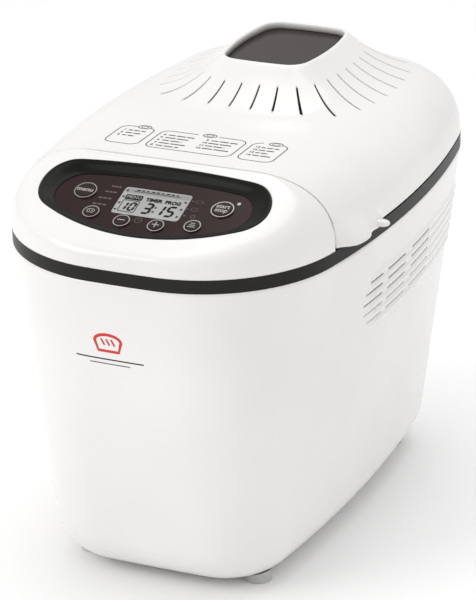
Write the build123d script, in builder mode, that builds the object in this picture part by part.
"""Bread machine: tapered housing, fixed control console, hinged lid with a window, lift-out pan
with two kneading paddles, and the belt drive, heater and electronics inside.

Millimetres, +Z up, front towards -Y. The origin is on the resting plane, below the middle of the rim.
"""

import os
from math import cos, radians, sin, sqrt

from build123d import *

# Overall heights
FOOT_H = 5.6
TUB_TOP = 252.0
BAND_TOP = 262.4
LID_BASE = 263.8
CROWN_TOP = 313.5
WINDOW_RIM_TOP = 341.0

# Rim and base outlines: half width, half length, side bow, end bow, front and rear corners
RIM = (135.0, 208.0, 728.0, 940.0, 103.0, 87.0)
BASE = (98.6, 172.0, 1137.0, 1290.0, 53.0, 53.0)
BASE_Y = -6.0
BOTTOM_ROUND = 30.0
SHOULDER_ROUND = 49.5
WALL = 2.6
COVER_WALL = 3.0
BAND_WALL = 5.0

# Line between the fixed console and the lid
SEAM_Y = -115.0
SEAM_HALF_GAP = 0.4
CONSOLE_SLOPE = 22.7

# Control panel
PANEL_CENTRE = (0.0, -152.85, 294.2)
PANEL_SLOPE = 19.4
PANEL_T = 2.5
LCD_SIZE = (53.4, 30.0)
LCD_CORNER = 3.0
BUTTONS = {
    "menu": (-53.8, 3.2, 8.5),
    "start": (54.0, 3.3, 8.5),
    "crust": (-39.8, -18.1, 6.3),
    "loaf_size": (39.8, -18.1, 6.3),
    "minus": (-13.4, -23.0, 6.3),
    "plus": (13.4, -23.0, 6.3),
}
RING_W = 0.9
BUTTON_GAP = 0.35
BUTTON_PROUD = 1.8
SWITCH_H = 2.0
SWITCH_TOP = -9.4
LED_AT = (63.1, 12.2)
LED_R = 1.4

# Lid window
WINDOW = (37.0, 48.5)
WINDOW_Y = 84.5
WINDOW_CORNER = 13.0
GLASS_T = 3.0
GLASS_TOP = 335.3
LINER_Z = 266.0
LINER_T = 1.2

# Lid hinge
HINGE_Y = 210.9
HINGE_Z = 263.0
HINGE_X = 32.0
KNUCKLE_R = 2.6
KNUCKLE_W = 6.0
PIN_R = 1.1

# Oven chamber
CHAMBER_Y = 33.0
CHAMBER = (164.0, 254.0)
CHAMBER_CORNER = 34.0
CHAMBER_FLOOR = 76.0
CHAMBER_T = 1.2
DECK_Z = 253.2
DECK_T = 2.6

# Bread pan
PAN_TOP_SIZE = (140.0, 234.0)
PAN_BOTTOM_SIZE = (128.0, 222.0)
PAN_CORNER = 28.0
PAN_BOTTOM = 97.0
PAN_TOP = 228.0
PAN_T = 1.2
BAIL_Z = 234.0
BAIL_REACH = 85.0
BAIL_HALF_W = 76.5
BAIL_R = 2.0

# Kneading drive
SPINDLE_PITCH = 110.0
SPINDLE_YS = (CHAMBER_Y - SPINDLE_PITCH / 2, CHAMBER_Y + SPINDLE_PITCH / 2)
SPINDLE_R = 5.0
PAN_SHAFT_R = 4.0
RUNNING_FIT = 0.05
DOG_R = 12.0
MOTOR_Y = -137.0
MOTOR_R = 30.0
MOTOR_H = 70.0
ROTOR_R = 19.5
ROTOR_GAP = 0.5
ROTOR_Z = (85.0, 125.0)
SHAFT_TOP = 136.0
MOTOR_PULLEY_R = 8.0
MAIN_PULLEY_R = 36.0
SYNC_PULLEY_R = 18.0
BELT_W = 8.0
BELT_T = 2.0
BELT_GAP = 0.3
MAIN_BELT_Z = 43.0
SYNC_BELT_Z = 54.0
CHASSIS_Z = 68.0
CHASSIS_T = 2.0

os.makedirs("parts", exist_ok=True)


def save(name, part):
    part.label = name
    export_step(part, f"parts/{name}.step")


# ---------------------------------------------------------------- shared outlines


def corner_points(shape, y_mid, side):
    """Tangent points and middle of one right-hand corner arc; side is -1 at the front, 1 at the rear."""
    half_w, half_l, side_bow, end_bow, front_r, rear_r = shape
    radius = rear_r if side > 0 else front_r
    side_centre = Vector(half_w - side_bow, y_mid)
    end_centre = Vector(0, y_mid + side * (half_l - end_bow))
    apart = (end_centre - side_centre).length
    along = (end_centre - side_centre).normalized()
    across = Vector(-along.Y, along.X) * side
    reach = ((side_bow - radius) ** 2 - (end_bow - radius) ** 2 + apart**2) / (2 * apart)
    centre = side_centre + along * reach + across * sqrt((side_bow - radius) ** 2 - reach**2)
    to_side = (centre - side_centre).normalized()
    to_end = (centre - end_centre).normalized()
    middle = centre + (to_side + to_end).normalized() * radius
    return side_centre + to_side * side_bow, middle, end_centre + to_end * end_bow


def bowed_face(shape, y_mid=0.0, inset=0.0):
    """Face inside two bowed sides, two bowed ends and four corner arcs tangent to them."""
    shape = [value - inset for value in shape]
    half_w, half_l = shape[:2]
    front_side, front_mid, front_end = corner_points(shape, y_mid, -1)
    rear_side, rear_mid, rear_end = corner_points(shape, y_mid, 1)
    right = [
        (front_end, front_mid, front_side),
        (front_side, Vector(half_w, y_mid), rear_side),
        (rear_side, rear_mid, rear_end),
    ]
    left = [tuple(Vector(-p.X, p.Y) for p in reversed(arc)) for arc in reversed(right)]
    rear = (rear_end, Vector(0, y_mid + half_l), Vector(-rear_end.X, rear_end.Y))
    front = (Vector(-front_end.X, front_end.Y), Vector(0, y_mid - half_l), front_end)
    with BuildSketch() as face:
        with BuildLine():
            for arc in [*right, rear, *left, front]:
                ThreePointArc(*arc)
        make_face()
    return face.sketch


def rim_face(inset=0.0):
    return bowed_face(RIM, 0.0, inset)


def base_face(inset=0.0):
    return bowed_face(BASE, BASE_Y, inset)


def rim_ring(outer_inset, inner_inset):
    with BuildSketch() as ring:
        add(rim_face(outer_inset))
        add(rim_face(inner_inset), mode=Mode.SUBTRACT)
    return ring.sketch


def tub_solid(inset, floor):
    """Tapered body between the base and rim outlines, rounded at the bottom."""
    with BuildPart() as tub:
        with BuildSketch(Plane.XY.offset(floor)):
            add(base_face(inset))
        with BuildSketch(Plane.XY.offset(TUB_TOP)):
            add(rim_face(inset))
        loft(ruled=True)
        fillet(tub.faces().sort_by(Axis.Z)[0].edges(), radius=BOTTOM_ROUND - inset)
    return tub.part


def crown_solid(inset, floor):
    """Rounded cover over the whole rim, before it is cut into console and lid."""
    top = CROWN_TOP - inset
    with BuildPart() as crown:
        with BuildSketch(Plane.XY.offset(floor)):
            add(rim_face(inset))
        extrude(amount=top - floor)
        fillet(crown.faces().sort_by(Axis.Z)[-1].edges(), radius=SHOULDER_ROUND - inset)
    return crown.part


def window_face(grow):
    """Window outline enlarged by grow, with its corners enlarged to match."""
    with BuildSketch() as face:
        with Locations((0, WINDOW_Y)):
            RectangleRounded(2 * (WINDOW[0] + grow), 2 * (WINDOW[1] + grow), WINDOW_CORNER + grow)
    return face.sketch


def pedestal_solid(levels):
    """Raised surround of the window: straight flanks between outlines at (height, growth) levels."""
    with BuildPart() as pedestal:
        for height, grow in levels:
            with BuildSketch(Plane.XY.offset(height)):
                add(window_face(grow))
        loft(ruled=True)
    return pedestal.part


def chamber_face(grow=0.0):
    with BuildSketch() as face:
        with Locations((0, CHAMBER_Y)):
            RectangleRounded(CHAMBER[0] + 2 * grow, CHAMBER[1] + 2 * grow, CHAMBER_CORNER + grow)
    return face.sketch


OUTER_TUB = tub_solid(0.0, FOOT_H)
OUTER_CROWN = crown_solid(0.0, BAND_TOP)
INNER_CROWN = crown_solid(COVER_WALL, BAND_TOP)

# ---------------------------------------------------------------- housing

FOOT_R = 10.0
FOOT_POINTS = [(68, -134), (-68, -134), (68, 122), (-68, 122)]
BASE_OPENING = (110.0, 250.0)
BASE_PLATE = (128.0, 268.0)
BASE_PLATE_T = 2.0
BASE_PLATE_Z = FOOT_H + WALL
BASE_SCREW_POINTS = [(x, BASE_Y + y) for x in (-59, 59) for y in (-105, 0, 105)]
BASE_SCREW_R = 2.0
SCREW_HOLE_R = 2.15
VENT_TOP_Z = 215.0
VENT_PITCH = 8.4
VENT_ROWS = 5
VENT_H = 1.6
VENT_COLUMNS = [(-60, -34), (-24, 10), (22, 62), (74, 112)]
GLAND_AT = (-60.0, 40.0)
GLAND_R = 7.0
CORD_HOLE_R = 4.0
GLAND_Y = 146.0
GLAND_L = 30.0

with BuildPart() as housing_shell:
    add(OUTER_TUB)
    add(tub_solid(WALL, FOOT_H + WALL), mode=Mode.SUBTRACT)
    with BuildSketch(Plane.XY.offset(FOOT_H)):
        with Locations((0, BASE_Y)):
            RectangleRounded(*BASE_OPENING, 12)
        with Locations(*BASE_SCREW_POINTS):
            Circle(SCREW_HOLE_R)
    extrude(amount=WALL, mode=Mode.SUBTRACT)
    for row in range(VENT_ROWS):
        for start, end in VENT_COLUMNS:
            with BuildSketch(Plane.YZ):
                with Locations(((start + end) / 2 + 1.3 * row, VENT_TOP_Z - VENT_PITCH * row)):
                    SlotOverall(end - start, VENT_H)
            extrude(amount=RIM[0], both=True, mode=Mode.SUBTRACT)
    with BuildSketch(Plane.XZ):
        with Locations(GLAND_AT):
            Circle(GLAND_R)
    extrude(amount=-RIM[1], mode=Mode.SUBTRACT)
save("housing_shell", housing_shell.part)

with BuildPart() as rim_band:
    with BuildSketch(Plane.XY.offset(TUB_TOP)):
        add(rim_ring(0.0, BAND_WALL))
    extrude(amount=BAND_TOP - TUB_TOP)
    with BuildSketch(Plane.XY.offset(TUB_TOP)):
        add(rim_ring(0.0, BAND_WALL + 4))
    extrude(amount=DECK_Z - TUB_TOP)
save("rim_band", rim_band.part)

with BuildPart() as feet:
    with BuildSketch():
        with Locations(*FOOT_POINTS):
            Circle(FOOT_R)
    extrude(amount=3 * FOOT_H)
    chamfer(feet.edges().group_by(Axis.Z)[0], length=0.8)
    add(OUTER_TUB, mode=Mode.SUBTRACT)
save("feet", feet.part)

with BuildPart() as base_plate:
    with BuildSketch(Plane.XY.offset(BASE_PLATE_Z)):
        with Locations((0, BASE_Y)):
            RectangleRounded(*BASE_PLATE, 12)
            with GridLocations(60, 14, 1, 9):
                SlotOverall(44, 4, mode=Mode.SUBTRACT)
        with Locations(*BASE_SCREW_POINTS):
            Circle(SCREW_HOLE_R, mode=Mode.SUBTRACT)
    extrude(amount=BASE_PLATE_T)
save("base_plate", base_plate.part)

with BuildPart() as base_screws:
    with BuildSketch(Plane.XY.offset(FOOT_H - 2)):
        with Locations(*BASE_SCREW_POINTS):
            Circle(4)
    extrude(amount=2)
    with BuildSketch(Plane.XY.offset(FOOT_H)):
        with Locations(*BASE_SCREW_POINTS):
            Circle(BASE_SCREW_R)
    extrude(amount=9)
save("base_screws", base_screws.part)

with BuildPart() as mains_gland:
    with BuildSketch(Plane.XZ.offset(-GLAND_Y)):
        with Locations(GLAND_AT):
            Circle(GLAND_R - 0.05)
    extrude(amount=-GLAND_L)
    with BuildSketch(Plane.XZ.offset(-GLAND_Y)):
        with Locations(GLAND_AT):
            Circle(GLAND_R + 3)
    extrude(amount=-7)
    with BuildSketch(Plane.XZ.offset(-GLAND_Y)):
        with Locations(GLAND_AT):
            Circle(CORD_HOLE_R)
    extrude(amount=-GLAND_L, mode=Mode.SUBTRACT)
save("mains_gland", mains_gland.part)

# ---------------------------------------------------------------- top deck and oven chamber

ELEMENT_R = 3.2
ELEMENT_Z = 103.0
ELEMENT_HALF = (73.0, 119.0)
ELEMENT_LEG_X = 22.0
CHAMBER_FRONT = CHAMBER_Y - CHAMBER[1] / 2
SENSOR_AT = (40.0, 170.0)
SENSOR_R = 2.5
BUSH_R = 11.0
BUSH_POINTS = [(0, y) for y in SPINDLE_YS]
BUSH_BOTTOM = 64.0
BUSH_TOP = 80.0
COLLAR_R = 24.0
COLLAR_GAP = 0.4

with BuildPart() as top_deck:
    with BuildSketch(Plane.XY.offset(DECK_Z)):
        add(rim_face(BAND_WALL))
        add(chamber_face(-CHAMBER_T), mode=Mode.SUBTRACT)
        with Locations((0, -160)):
            RectangleRounded(110, 30, 6, mode=Mode.SUBTRACT)
    extrude(amount=DECK_T)
save("top_deck", top_deck.part)

with BuildPart() as oven_chamber:
    with BuildSketch(Plane.XY.offset(CHAMBER_FLOOR)):
        add(chamber_face())
    extrude(amount=DECK_Z - CHAMBER_FLOOR)
    with BuildSketch(Plane.XY.offset(DECK_Z)):
        add(chamber_face(8))
    extrude(amount=-CHAMBER_T)
    with BuildSketch(Plane.XY.offset(CHAMBER_FLOOR + CHAMBER_T)):
        add(chamber_face(-CHAMBER_T))
    extrude(amount=DECK_Z - CHAMBER_FLOOR, mode=Mode.SUBTRACT)
    with BuildSketch(Plane.XY.offset(CHAMBER_FLOOR + CHAMBER_T)):
        with Locations(*BUSH_POINTS):
            Circle(COLLAR_R + 3)
            Circle(COLLAR_R + 0.5, mode=Mode.SUBTRACT)
    extrude(amount=7)
    with BuildSketch(Plane.XY.offset(CHAMBER_FLOOR)):
        with Locations(*BUSH_POINTS):
            Circle(BUSH_R)
    extrude(amount=CHAMBER_T, mode=Mode.SUBTRACT)
    with BuildSketch(Plane.XZ.offset(-CHAMBER_FRONT)):
        with Locations((-ELEMENT_LEG_X, ELEMENT_Z), (ELEMENT_LEG_X, ELEMENT_Z)):
            Circle(ELEMENT_R + 0.2)
        with Locations(SENSOR_AT):
            Circle(SENSOR_R + 0.1)
    extrude(amount=-CHAMBER_T, mode=Mode.SUBTRACT)
save("oven_chamber", oven_chamber.part)

with BuildPart() as heating_element:
    with BuildLine(Plane.XY.offset(ELEMENT_Z)) as loop:
        FilletPolyline(
            (ELEMENT_HALF[0], CHAMBER_Y - ELEMENT_HALF[1]),
            (ELEMENT_HALF[0], CHAMBER_Y + ELEMENT_HALF[1]),
            (-ELEMENT_HALF[0], CHAMBER_Y + ELEMENT_HALF[1]),
            (-ELEMENT_HALF[0], CHAMBER_Y - ELEMENT_HALF[1]),
            close=True,
            radius=24,
        )
    with BuildSketch(Plane(origin=loop.line @ 0, z_dir=loop.line % 0)):
        Circle(ELEMENT_R)
    sweep(path=loop.line)
    with BuildSketch(Plane.XZ.offset(-(CHAMBER_Y - ELEMENT_HALF[1]))):
        with Locations((-ELEMENT_LEG_X, ELEMENT_Z), (ELEMENT_LEG_X, ELEMENT_Z)):
            Circle(ELEMENT_R)
    extrude(amount=16)
save("heating_element", heating_element.part)

with BuildPart() as element_terminals:
    with BuildSketch(Plane.XZ.offset(-CHAMBER_FRONT)):
        with Locations((-ELEMENT_LEG_X, ELEMENT_Z), (ELEMENT_LEG_X, ELEMENT_Z)):
            Circle(7)
            Circle(ELEMENT_R + 0.1, mode=Mode.SUBTRACT)
    extrude(amount=5)
save("element_terminals", element_terminals.part)

with BuildPart() as element_posts:
    with BuildSketch(Plane.XY.offset(CHAMBER_FLOOR + CHAMBER_T)):
        with Locations((0, CHAMBER_Y)):
            with GridLocations(2 * ELEMENT_HALF[0], 140, 2, 2):
                Circle(3)
    extrude(amount=ELEMENT_Z - ELEMENT_R - CHAMBER_FLOOR - CHAMBER_T)
save("element_posts", element_posts.part)

with BuildPart() as temperature_sensor:
    with BuildSketch(Plane.XZ.offset(-CHAMBER_FRONT)):
        with Locations(SENSOR_AT):
            Circle(SENSOR_R)
    extrude(amount=-8)
    with BuildSketch(Plane.XZ.offset(-CHAMBER_FRONT)):
        with Locations(SENSOR_AT):
            RegularPolygon(6, 6)
    extrude(amount=5)
save("temperature_sensor", temperature_sensor.part)

with BuildPart() as heat_shield:
    with BuildSketch(Plane.XZ.offset(105)):
        with Locations((0, 163)):
            RectangleRounded(156, 160, 8)
    extrude(amount=-0.8)
save("heat_shield", heat_shield.part)

# ---------------------------------------------------------------- chassis, motor and belts

CHASSIS_POST_POINTS = [(x, y) for x in (-55, 55) for y in (-120, 108)]
BOARD_Z = 160.0
BOARD_POST_POINTS = [(x, y) for x in (-60, 60) for y in (-170, -118)]

with BuildPart() as chassis_plate:
    with BuildSketch(Plane.XY.offset(CHASSIS_Z)):
        with Locations((0, -5)):
            RectangleRounded(170, 310, 40)
        with Locations(*BUSH_POINTS):
            Circle(BUSH_R, mode=Mode.SUBTRACT)
        with Locations((0, MOTOR_Y)):
            Circle(7, mode=Mode.SUBTRACT)
    extrude(amount=CHASSIS_T)
save("chassis_plate", chassis_plate.part)

with BuildPart() as standoffs:
    with BuildSketch(Plane.XY.offset(BASE_PLATE_Z + BASE_PLATE_T)):
        with Locations(*CHASSIS_POST_POINTS):
            Circle(5)
    extrude(amount=CHASSIS_Z - BASE_PLATE_Z - BASE_PLATE_T)
    with BuildSketch(Plane.XY.offset(CHASSIS_Z + CHASSIS_T)):
        with Locations(*BOARD_POST_POINTS):
            Circle(3)
    extrude(amount=BOARD_Z - CHASSIS_Z - CHASSIS_T)
save("standoffs", standoffs.part)

with BuildPart() as spindle_bushes:
    with BuildSketch(Plane.XY.offset(BUSH_BOTTOM)):
        with Locations(*BUSH_POINTS):
            Circle(15)
    extrude(amount=CHASSIS_Z - BUSH_BOTTOM)
    with BuildSketch(Plane.XY.offset(BUSH_BOTTOM)):
        with Locations(*BUSH_POINTS):
            Circle(BUSH_R)
    extrude(amount=BUSH_TOP - BUSH_BOTTOM)
    with BuildSketch(Plane.XY.offset(BUSH_BOTTOM)):
        with Locations(*BUSH_POINTS):
            Circle(SPINDLE_R + RUNNING_FIT)
    extrude(amount=BUSH_TOP - BUSH_BOTTOM, mode=Mode.SUBTRACT)
save("spindle_bushes", spindle_bushes.part)

with BuildPart() as drive_motor:
    with BuildSketch(Plane.XY.offset(CHASSIS_Z + CHASSIS_T)):
        with Locations((0, MOTOR_Y)):
            Circle(MOTOR_R)
    extrude(amount=MOTOR_H)
    fillet(drive_motor.faces().sort_by(Axis.Z)[-1].edges(), radius=6)
    with BuildSketch(Plane.XY.offset(CHASSIS_Z + CHASSIS_T)):
        with Locations((0, MOTOR_Y)):
            Circle(PAN_SHAFT_R + RUNNING_FIT)
    extrude(amount=SHAFT_TOP + 1 - CHASSIS_Z - CHASSIS_T, mode=Mode.SUBTRACT)
    with BuildSketch(Plane.XY.offset(ROTOR_Z[0] - 2)):
        with Locations((0, MOTOR_Y)):
            Circle(ROTOR_R + ROTOR_GAP)
    extrude(amount=ROTOR_Z[1] - ROTOR_Z[0] + 4, mode=Mode.SUBTRACT)
save("drive_motor", drive_motor.part)

with BuildPart() as motor_shaft:
    with BuildSketch(Plane.XY.offset(MAIN_BELT_Z - 3)):
        with Locations((0, MOTOR_Y)):
            Circle(PAN_SHAFT_R)
    extrude(amount=SHAFT_TOP - MAIN_BELT_Z + 3)
    with BuildSketch(Plane.XY.offset(ROTOR_Z[0])):
        with Locations((0, MOTOR_Y)):
            Circle(ROTOR_R)
    extrude(amount=ROTOR_Z[1] - ROTOR_Z[0])
    with BuildSketch(Plane.XY.offset(MAIN_BELT_Z)):
        with Locations((0, MOTOR_Y)):
            Circle(MOTOR_PULLEY_R)
    extrude(amount=BELT_W)
    with BuildSketch(Plane.XY.offset(MAIN_BELT_Z - 1.5), Plane.XY.offset(MAIN_BELT_Z + BELT_W)):
        with Locations((0, MOTOR_Y)):
            Circle(MOTOR_PULLEY_R + 2.5)
    extrude(amount=1.5)
save("motor_shaft", motor_shaft.part)


def belt_face(front, rear, grow):
    """Outline of a belt round two pulleys, each given as (y, radius), moved out by grow."""
    with BuildSketch() as face:
        for y, radius in (front, rear):
            with Locations((0, y)):
                Circle(radius + grow)
        make_hull()
    return face.sketch


def belt(name, height, front, rear):
    with BuildPart() as loop:
        with BuildSketch(Plane.XY.offset(height)):
            add(belt_face(front, rear, BELT_GAP + BELT_T))
            add(belt_face(front, rear, BELT_GAP), mode=Mode.SUBTRACT)
        extrude(amount=BELT_W)
    save(name, loop.part)


belt(
    "motor_belt",
    MAIN_BELT_Z,
    (MOTOR_Y, MOTOR_PULLEY_R),
    (SPINDLE_YS[0], MAIN_PULLEY_R),
)
belt(
    "paddle_belt",
    SYNC_BELT_Z,
    (SPINDLE_YS[0], SYNC_PULLEY_R),
    (SPINDLE_YS[1], SYNC_PULLEY_R),
)

DOG_Z = 80.4
DOG_T = 4.0
LUG_H = 4.6


def lug_face(y, angle):
    """Two opposite driving lugs of a coupling, at the given angle."""
    with BuildSketch() as face:
        with Locations((0, y)):
            with PolarLocations(8, 2, start_angle=angle):
                Rectangle(6, 5)
    return face.sketch


def spindle(name, y, pulleys):
    """Shaft through its bush, with the coupling on top and pulleys (height, radius) below."""
    with BuildPart() as shaft:
        with BuildSketch(Plane.XY.offset(MAIN_BELT_Z - 6)):
            with Locations((0, y)):
                Circle(SPINDLE_R)
        extrude(amount=DOG_Z - MAIN_BELT_Z + 6)
        with BuildSketch(Plane.XY.offset(DOG_Z)):
            with Locations((0, y)):
                Circle(DOG_R)
        extrude(amount=DOG_T)
        with BuildSketch(Plane.XY.offset(DOG_Z + DOG_T)):
            add(lug_face(y, 0))
        extrude(amount=LUG_H)
    save(name, shaft.part)
    for pulley_name, height, radius in pulleys:
        with BuildPart() as pulley:
            with BuildSketch(Plane.XY.offset(height)):
                with Locations((0, y)):
                    Circle(radius)
            extrude(amount=BELT_W)
            with BuildSketch(Plane.XY.offset(height - 1.2), Plane.XY.offset(height + BELT_W)):
                with Locations((0, y)):
                    Circle(radius + 2.5)
            extrude(amount=1.2)
            with BuildSketch(Plane.XY.offset(height - 1.2)):
                with Locations((0, y)):
                    Circle(SPINDLE_R)
                    if radius > 30:
                        with PolarLocations(21, 5):
                            Circle(6.5)
            extrude(amount=BELT_W + 2.4, mode=Mode.SUBTRACT)
        save(pulley_name, pulley.part)


spindle(
    "spindle_front",
    SPINDLE_YS[0],
    [("main_pulley", MAIN_BELT_Z, MAIN_PULLEY_R), ("front_pulley", SYNC_BELT_Z, SYNC_PULLEY_R)],
)
spindle("spindle_rear", SPINDLE_YS[1], [("rear_pulley", SYNC_BELT_Z, SYNC_PULLEY_R)])

# ---------------------------------------------------------------- power electronics

with BuildPart() as power_board:
    with BuildSketch(Plane.XY.offset(BOARD_Z)):
        with Locations((0, -144)):
            RectangleRounded(134, 66, 3)
    extrude(amount=1.6)
save("power_board", power_board.part)

with BuildPart() as transformer:
    with BuildSketch(Plane.XY.offset(BOARD_Z + 1.6)):
        with Locations((-38, -144)):
            Rectangle(36, 30)
    extrude(amount=26)
    chamfer(transformer.edges().filter_by(Axis.Z), length=3)
save("transformer", transformer.part)

with BuildPart() as capacitor:
    with BuildSketch(Plane.XY.offset(BOARD_Z + 1.6)):
        with Locations((8, -140)):
            Circle(9)
    extrude(amount=24)
    fillet(capacitor.faces().sort_by(Axis.Z)[-1].edges(), radius=1.5)
save("capacitor", capacitor.part)

# ---------------------------------------------------------------- console and control panel

PANEL = Plane(
    origin=PANEL_CENTRE,
    x_dir=(1, 0, 0),
    z_dir=(0, -sin(radians(PANEL_SLOPE)), cos(radians(PANEL_SLOPE))),
)
CONSOLE = Plane(
    origin=(0, SEAM_Y, CROWN_TOP),
    x_dir=(1, 0, 0),
    z_dir=(0, -sin(radians(CONSOLE_SLOPE)), cos(radians(CONSOLE_SLOPE))),
)

def console_solid(crown, wall):
    """Front part of the crown, cut by the seam and by the sloping top, moved in by wall."""
    with BuildPart() as console:
        add(crown)
        split(bisect_by=Plane.XZ.offset(-SEAM_Y + SEAM_HALF_GAP + wall), keep=Keep.TOP)
        split(bisect_by=CONSOLE.offset(-wall), keep=Keep.BOTTOM)
    return console.part


def bezel_face(inset=0.0):
    """Oval of the bezel: arched top, round ends and a deeper arched bottom."""
    with BuildSketch() as face:
        with BuildLine():
            ThreePointArc((-72, 30), (0, 33.7), (72, 30))
            ThreePointArc((72, 30), (90, 5), (72, -21))
            ThreePointArc((72, -21), (0, -39), (-72, -21))
            ThreePointArc((-72, -21), (-90, 5), (-72, 30))
        make_face()
        if inset:
            offset(amount=-inset)
    return face.sketch


def inner_panel_face():
    with BuildSketch() as face:
        with BuildLine():
            ThreePointArc((-63, 21.5), (0, 25.7), (63, 21.5))
            ThreePointArc((63, 21.5), (75.8, 4), (57, -22))
            ThreePointArc((57, -22), (0, -34.2), (-57, -22))
            ThreePointArc((-57, -22), (-75.8, 4), (-63, 21.5))
        make_face()
    return face.sketch


with BuildPart() as console_cover:
    add(console_solid(OUTER_CROWN, 0.0))
    add(console_solid(INNER_CROWN, COVER_WALL), mode=Mode.SUBTRACT)
    with BuildSketch(PANEL.offset(-8)):
        add(bezel_face())
    extrude(amount=30, mode=Mode.SUBTRACT)
save("console_cover", console_cover.part)

with BuildPart() as control_bezel:
    with BuildSketch(PANEL):
        add(bezel_face(0.15))
        add(inner_panel_face(), mode=Mode.SUBTRACT)
    extrude(amount=12)
    split(bisect_by=CONSOLE, keep=Keep.BOTTOM)
save("control_bezel", control_bezel.part)

with BuildPart() as control_panel:
    with BuildSketch(PANEL):
        add(bezel_face(0.3))
        RectangleRounded(*LCD_SIZE, LCD_CORNER, mode=Mode.SUBTRACT)
        with Locations(LED_AT):
            Circle(LED_R + 0.1, mode=Mode.SUBTRACT)
        for x, y, radius in BUTTONS.values():
            with Locations((x, y)):
                Circle(radius - RING_W, mode=Mode.SUBTRACT)
    extrude(amount=-PANEL_T)
save("control_panel", control_panel.part)

with BuildPart() as button_rings:
    for x, y, radius in BUTTONS.values():
        with BuildSketch(PANEL):
            with Locations((x, y)):
                Circle(radius)
                Circle(radius - RING_W, mode=Mode.SUBTRACT)
        extrude(amount=1.2)
save("button_rings", button_rings.part)

with BuildPart() as lcd_display:
    with BuildSketch(PANEL.offset(-PANEL_T)):
        RectangleRounded(LCD_SIZE[0] - 0.4, LCD_SIZE[1] - 0.4, LCD_CORNER - 0.2)
    extrude(amount=PANEL_T - 0.5)
    with BuildSketch(PANEL.offset(-PANEL_T)):
        Rectangle(LCD_SIZE[0] + 6, LCD_SIZE[1] + 3)
    extrude(amount=-5)
save("lcd_display", lcd_display.part)

with BuildPart() as status_led:
    with BuildSketch(PANEL.offset(0.3)):
        with Locations(LED_AT):
            Circle(LED_R)
    extrude(amount=-8)
save("status_led", status_led.part)

with BuildPart() as control_board:
    with BuildSketch(PANEL.offset(SWITCH_TOP - SWITCH_H)):
        with Locations((0, -6)):
            RectangleRounded(150, 46, 3)
    extrude(amount=-1.6)
save("control_board", control_board.part)

with BuildPart() as tact_switches:
    with BuildSketch(PANEL.offset(SWITCH_TOP)):
        for x, y, radius in BUTTONS.values():
            with Locations((x, y)):
                Rectangle(6, 6)
    extrude(amount=-SWITCH_H)
save("tact_switches", tact_switches.part)


def button(name, x, y, radius):
    """Cap in its ring, with a retaining flange under the panel and a stem above its switch."""
    cap_r = radius - RING_W - BUTTON_GAP
    with BuildPart() as cap:
        with BuildSketch(PANEL.offset(-PANEL_T - 1.9)):
            with Locations((x, y)):
                Circle(cap_r)
        extrude(amount=PANEL_T + 1.9 + BUTTON_PROUD)
        fillet(cap.faces().sort_by(Axis((0, 0, 0), PANEL.z_dir))[-1].edges(), radius=0.8)
        with BuildSketch(PANEL.offset(-PANEL_T - 1.9)):
            with Locations((x, y)):
                Circle(cap_r + 1.0)
        extrude(amount=1.4)
        with BuildSketch(PANEL.offset(-PANEL_T - 1.9)):
            with Locations((x, y)):
                Circle(2)
        extrude(amount=-(-PANEL_T - 1.9 - SWITCH_TOP - 1.2))
    save(f"button_{name}", cap.part)


for name, (x, y, radius) in BUTTONS.items():
    button(name, x, y, radius)

# ---------------------------------------------------------------- lid

OUTER_FLANK = [(299, 44), (312, 42), (319, 30), (326, 18), (334, 8), (WINDOW_RIM_TOP, 3)]
INNER_FLANK = [(299, 41), (309.5, 38.5), (316, 27), (323, 15), (331, 5.5), (GLASS_TOP, 2.6)]
EAR_Z = (263.8, 270.5)
EAR_POINTS = [
    (118, -113),
    (138, -104),
    (143.5, -92),
    (148, -73),
    (142, -55),
    (120, -46),
]
LID_SCREW_POINTS = [(x, y) for x in (-108, 108) for y in (-60, 33, 120)]


def lid_solid(crown, flank, wall):
    """Rear part of the crown with the raised window surround."""
    with BuildPart() as lid:
        add(crown)
        split(bisect_by=Plane.XY.offset(LID_BASE), keep=Keep.TOP)
        split(bisect_by=Plane.XZ.offset(-SEAM_Y - SEAM_HALF_GAP - wall), keep=Keep.BOTTOM)
        add(pedestal_solid(flank))
    return lid.part


OUTER_LID = lid_solid(OUTER_CROWN, OUTER_FLANK, 0.0)
INNER_LID = lid_solid(INNER_CROWN, INNER_FLANK, COVER_WALL)

with BuildPart() as lid_bosses:
    with BuildSketch(Plane.XY.offset(LINER_Z + LINER_T)):
        with Locations(*LID_SCREW_POINTS):
            Circle(4)
    extrude(amount=60)
    add(OUTER_LID, mode=Mode.INTERSECT)

with BuildPart() as lid_shell:
    add(OUTER_LID)
    with BuildSketch(Plane.XY.offset(EAR_Z[0])):
        with BuildLine():
            Spline(*EAR_POINTS)
            Line(EAR_POINTS[-1], EAR_POINTS[0])
        make_face()
        mirror(about=Plane.YZ)
    extrude(amount=EAR_Z[1] - EAR_Z[0])
    add(INNER_LID, mode=Mode.SUBTRACT)
    add(lid_bosses.part)
    with BuildSketch(Plane.XY.offset(LINER_Z + LINER_T)):
        with Locations(*LID_SCREW_POINTS):
            Circle(1.6)
    extrude(amount=12, mode=Mode.SUBTRACT)
    with BuildSketch(Plane.XY.offset(GLASS_TOP - 1)):
        add(window_face(0.0))
    extrude(amount=20, mode=Mode.SUBTRACT)
save("lid_shell", lid_shell.part)

with BuildPart() as window_glass:
    with BuildSketch(Plane.XY.offset(GLASS_TOP - GLASS_T)):
        add(window_face(1.8))
    extrude(amount=GLASS_T)
save("window_glass", window_glass.part)

with BuildPart() as window_gasket:
    with BuildSketch(Plane.XY.offset(GLASS_TOP - GLASS_T - 1.5)):
        add(window_face(1.5))
        add(window_face(-3.5), mode=Mode.SUBTRACT)
    extrude(amount=1.5)
save("window_gasket", window_gasket.part)

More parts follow.
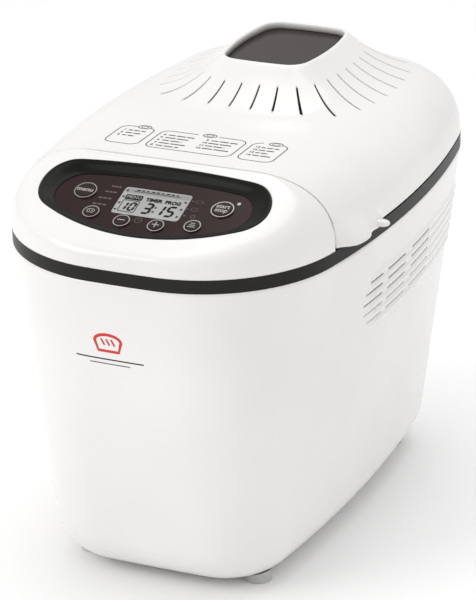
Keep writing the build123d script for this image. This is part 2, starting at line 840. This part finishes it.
with BuildPart() as window_frame:
    with BuildSketch(Plane.XY.offset(LINER_Z + LINER_T)):
        add(window_face(1.0))
        add(window_face(-1.0), mode=Mode.SUBTRACT)
    extrude(amount=GLASS_TOP - GLASS_T - 1.5 - LINER_Z - LINER_T)
save("window_frame", window_frame.part)

with BuildPart() as lid_liner:
    with BuildSketch(Plane.XY.offset(LINER_Z)):
        add(rim_face(6))
        add(window_face(-1.0), mode=Mode.SUBTRACT)
        with Locations(*LID_SCREW_POINTS):
            Circle(1.6, mode=Mode.SUBTRACT)
    extrude(amount=LINER_T)
    split(bisect_by=Plane.XZ.offset(-SEAM_Y - 6), keep=Keep.BOTTOM)
save("lid_liner", lid_liner.part)

with BuildPart() as lid_seal:
    with BuildSketch(Plane.XY.offset(DECK_Z + DECK_T + 0.5)):
        add(chamber_face(9))
        add(chamber_face(4), mode=Mode.SUBTRACT)
    extrude(amount=LINER_Z - DECK_Z - DECK_T - 0.5)
save("lid_seal", lid_seal.part)

with BuildPart() as lid_screws:
    with BuildSketch(Plane.XY.offset(LINER_Z - 1.6)):
        with Locations(*LID_SCREW_POINTS):
            Circle(3)
    extrude(amount=1.6)
    with BuildSketch(Plane.XY.offset(LINER_Z)):
        with Locations(*LID_SCREW_POINTS):
            Circle(1.5)
    extrude(amount=11)
save("lid_screws", lid_screws.part)

# ---------------------------------------------------------------- hinge


def knuckle_face(radius):
    with BuildSketch() as face:
        with Locations((HINGE_Y, HINGE_Z)):
            Circle(radius)
    return face.sketch


HINGE_SIDES = (-HINGE_X, HINGE_X)
KNUCKLE_GAP = 0.35
HINGE_BLOCK_Z = (253.5, 258.5)
ARM_Z = (265.0, 270.0)


def hinge_box(y_range, z_range):
    """Rectangle in the plane across the hinge axis."""
    with BuildSketch() as face:
        with Locations((sum(y_range) / 2, sum(z_range) / 2)):
            Rectangle(y_range[1] - y_range[0], z_range[1] - z_range[0])
    return face.sketch


KNUCKLE_Y = (HINGE_Y - KNUCKLE_R, HINGE_Y + KNUCKLE_R)
INSIDE_Y = HINGE_Y - 8

with BuildPart() as hinge_brackets:
    for x in HINGE_SIDES:
        for side in (-1, 1):
            with BuildSketch(Plane.YZ.offset(x + side * (KNUCKLE_W + KNUCKLE_GAP) - KNUCKLE_W / 2)):
                add(knuckle_face(KNUCKLE_R))
                add(hinge_box(KNUCKLE_Y, (HINGE_BLOCK_Z[0], HINGE_Z)))
            extrude(amount=KNUCKLE_W)
        with BuildSketch(Plane.YZ.offset(x - 1.5 * KNUCKLE_W - KNUCKLE_GAP)):
            add(hinge_box((INSIDE_Y, KNUCKLE_Y[1]), HINGE_BLOCK_Z))
        extrude(amount=3 * KNUCKLE_W + 2 * KNUCKLE_GAP)
    with BuildSketch(Plane.XY.offset(TUB_TOP)):
        add(rim_face())
    extrude(amount=BAND_TOP - TUB_TOP, mode=Mode.SUBTRACT)
    for x in HINGE_SIDES:
        with BuildSketch(Plane.YZ.offset(x - 2 * KNUCKLE_W)):
            add(knuckle_face(PIN_R))
        extrude(amount=4 * KNUCKLE_W, mode=Mode.SUBTRACT)
save("hinge_brackets", hinge_brackets.part)

with BuildPart() as hinge_pins:
    for x in HINGE_SIDES:
        with BuildSketch(Plane.YZ.offset(x - 1.6 * KNUCKLE_W)):
            add(knuckle_face(PIN_R))
        extrude(amount=3.2 * KNUCKLE_W)
save("hinge_pins", hinge_pins.part)

with BuildPart() as lid_hinge_arms:
    for x in HINGE_SIDES:
        with BuildSketch(Plane.YZ.offset(x - KNUCKLE_W / 2)):
            add(knuckle_face(KNUCKLE_R))
            add(hinge_box(KNUCKLE_Y, (HINGE_Z, ARM_Z[1])))
            add(hinge_box((INSIDE_Y, KNUCKLE_Y[1]), ARM_Z))
        extrude(amount=KNUCKLE_W)
    add(OUTER_LID, mode=Mode.SUBTRACT)
    for x in HINGE_SIDES:
        with BuildSketch(Plane.YZ.offset(x - 2 * KNUCKLE_W)):
            add(knuckle_face(PIN_R + RUNNING_FIT))
        extrude(amount=4 * KNUCKLE_W, mode=Mode.SUBTRACT)
save("lid_hinge_arms", lid_hinge_arms.part)

# ---------------------------------------------------------------- bread pan

def pan_solid(inset, floor):
    with BuildPart() as solid:
        for height, size in ((floor, PAN_BOTTOM_SIZE), (PAN_TOP, PAN_TOP_SIZE)):
            with BuildSketch(Plane.XY.offset(height)):
                with Locations((0, CHAMBER_Y)):
                    RectangleRounded(size[0] - 2 * inset, size[1] - 2 * inset, PAN_CORNER - inset)
        loft(ruled=True)
    return solid.part


TAB_X = PAN_TOP_SIZE[0] / 2 + 1.0
TAB_T = 1.5

with BuildPart() as bread_pan:
    add(pan_solid(0.0, PAN_BOTTOM))
    with BuildSketch(Plane.XY.offset(PAN_TOP - 2)):
        with Locations((0, CHAMBER_Y)):
            RectangleRounded(PAN_TOP_SIZE[0] + 5, PAN_TOP_SIZE[1] + 5, PAN_CORNER + 2.5)
    extrude(amount=2)
    for side in (-1, 1):
        with BuildSketch(Plane.YZ.offset(side * TAB_X - TAB_T / 2)):
            with Locations((CHAMBER_Y, BAIL_Z - 3.5)):
                RectangleRounded(12, 17, 5)
        extrude(amount=TAB_T)
    add(pan_solid(PAN_T, PAN_BOTTOM + PAN_T), mode=Mode.SUBTRACT)
    with BuildSketch(Plane.YZ.offset(-PAN_TOP_SIZE[0])):
        with Locations((CHAMBER_Y, BAIL_Z)):
            Circle(BAIL_R + 0.1)
    extrude(amount=2 * PAN_TOP_SIZE[0], mode=Mode.SUBTRACT)
    with BuildSketch(Plane.XY.offset(PAN_BOTTOM)):
        with Locations(*BUSH_POINTS):
            Circle(9)
    extrude(amount=PAN_T, mode=Mode.SUBTRACT)
save("bread_pan", bread_pan.part)

with BuildPart() as pan_bushes:
    with BuildSketch(Plane.XY.offset(PAN_BOTTOM - 2)):
        with Locations(*BUSH_POINTS):
            Circle(9)
            Circle(PAN_SHAFT_R + RUNNING_FIT, mode=Mode.SUBTRACT)
    extrude(amount=2 + PAN_T)
save("pan_bushes", pan_bushes.part)

with BuildPart() as pan_collars:
    with BuildSketch(Plane.XY.offset(CHAMBER_FLOOR + CHAMBER_T + COLLAR_GAP)):
        with Locations(*BUSH_POINTS):
            Circle(COLLAR_R)
            Circle(COLLAR_R - 3, mode=Mode.SUBTRACT)
    extrude(amount=PAN_BOTTOM - CHAMBER_FLOOR - CHAMBER_T - COLLAR_GAP)
save("pan_collars", pan_collars.part)

with BuildPart() as pan_handle:
    with BuildLine(Plane.XY.offset(BAIL_Z)) as bail:
        FilletPolyline(
            (-TAB_X + 3, CHAMBER_Y),
            (-BAIL_HALF_W, CHAMBER_Y),
            (-BAIL_HALF_W, CHAMBER_Y + BAIL_REACH),
            (BAIL_HALF_W, CHAMBER_Y + BAIL_REACH),
            (BAIL_HALF_W, CHAMBER_Y),
            (TAB_X - 3, CHAMBER_Y),
            radius=3.5,
        )
    with BuildSketch(Plane(origin=bail.line @ 0, z_dir=bail.line % 0)):
        Circle(BAIL_R)
    sweep(path=bail.line)
save("pan_handle", pan_handle.part)

# ---------------------------------------------------------------- paddles

PAN_DOG_TOP = PAN_BOTTOM - 2.5
PADDLE_BOTTOM = PAN_BOTTOM + PAN_T + 0.6
PADDLE_H = 26.0
BLADE_REACH = 33.0


def paddle(name, y):
    with BuildPart() as shaft:
        with BuildSketch(Plane.XY.offset(PAN_DOG_TOP - DOG_T)):
            with Locations((0, y)):
                Circle(DOG_R)
        extrude(amount=DOG_T)
        with BuildSketch(Plane.XY.offset(PAN_DOG_TOP - DOG_T)):
            add(lug_face(y, 90))
        extrude(amount=-LUG_H)
        with BuildSketch(Plane.XY.offset(PAN_DOG_TOP)):
            with Locations((0, y)):
                Circle(PAN_SHAFT_R)
        extrude(amount=PADDLE_BOTTOM + PADDLE_H - 3 - PAN_DOG_TOP)
    save(f"pan_shaft_{name}", shaft.part)
    with BuildPart() as blade:
        with BuildSketch(Plane.XY.offset(PADDLE_BOTTOM)):
            with Locations((0, y)):
                Circle(8.5)
        extrude(amount=PADDLE_H)
        fillet(blade.faces().sort_by(Axis.Z)[-1].edges(), radius=3)
        with BuildSketch(Plane.XZ.offset(-y)):
            with BuildLine():
                Polyline(
                    (0, PADDLE_BOTTOM),
                    (BLADE_REACH, PADDLE_BOTTOM),
                    (BLADE_REACH - 4, PADDLE_BOTTOM + 30),
                    (BLADE_REACH - 16, PADDLE_BOTTOM + 42),
                    (0, PADDLE_BOTTOM + 18),
                    close=True,
                )
            make_face()
        extrude(amount=2, both=True)
        with BuildSketch(Plane.XY.offset(PADDLE_BOTTOM)):
            with Locations((0, y)):
                Circle(PAN_SHAFT_R)
        extrude(amount=PADDLE_H - 3, mode=Mode.SUBTRACT)
    save(f"paddle_{name}", blade.part)


for name, y in zip(("front", "rear"), SPINDLE_YS):
    paddle(name, y)
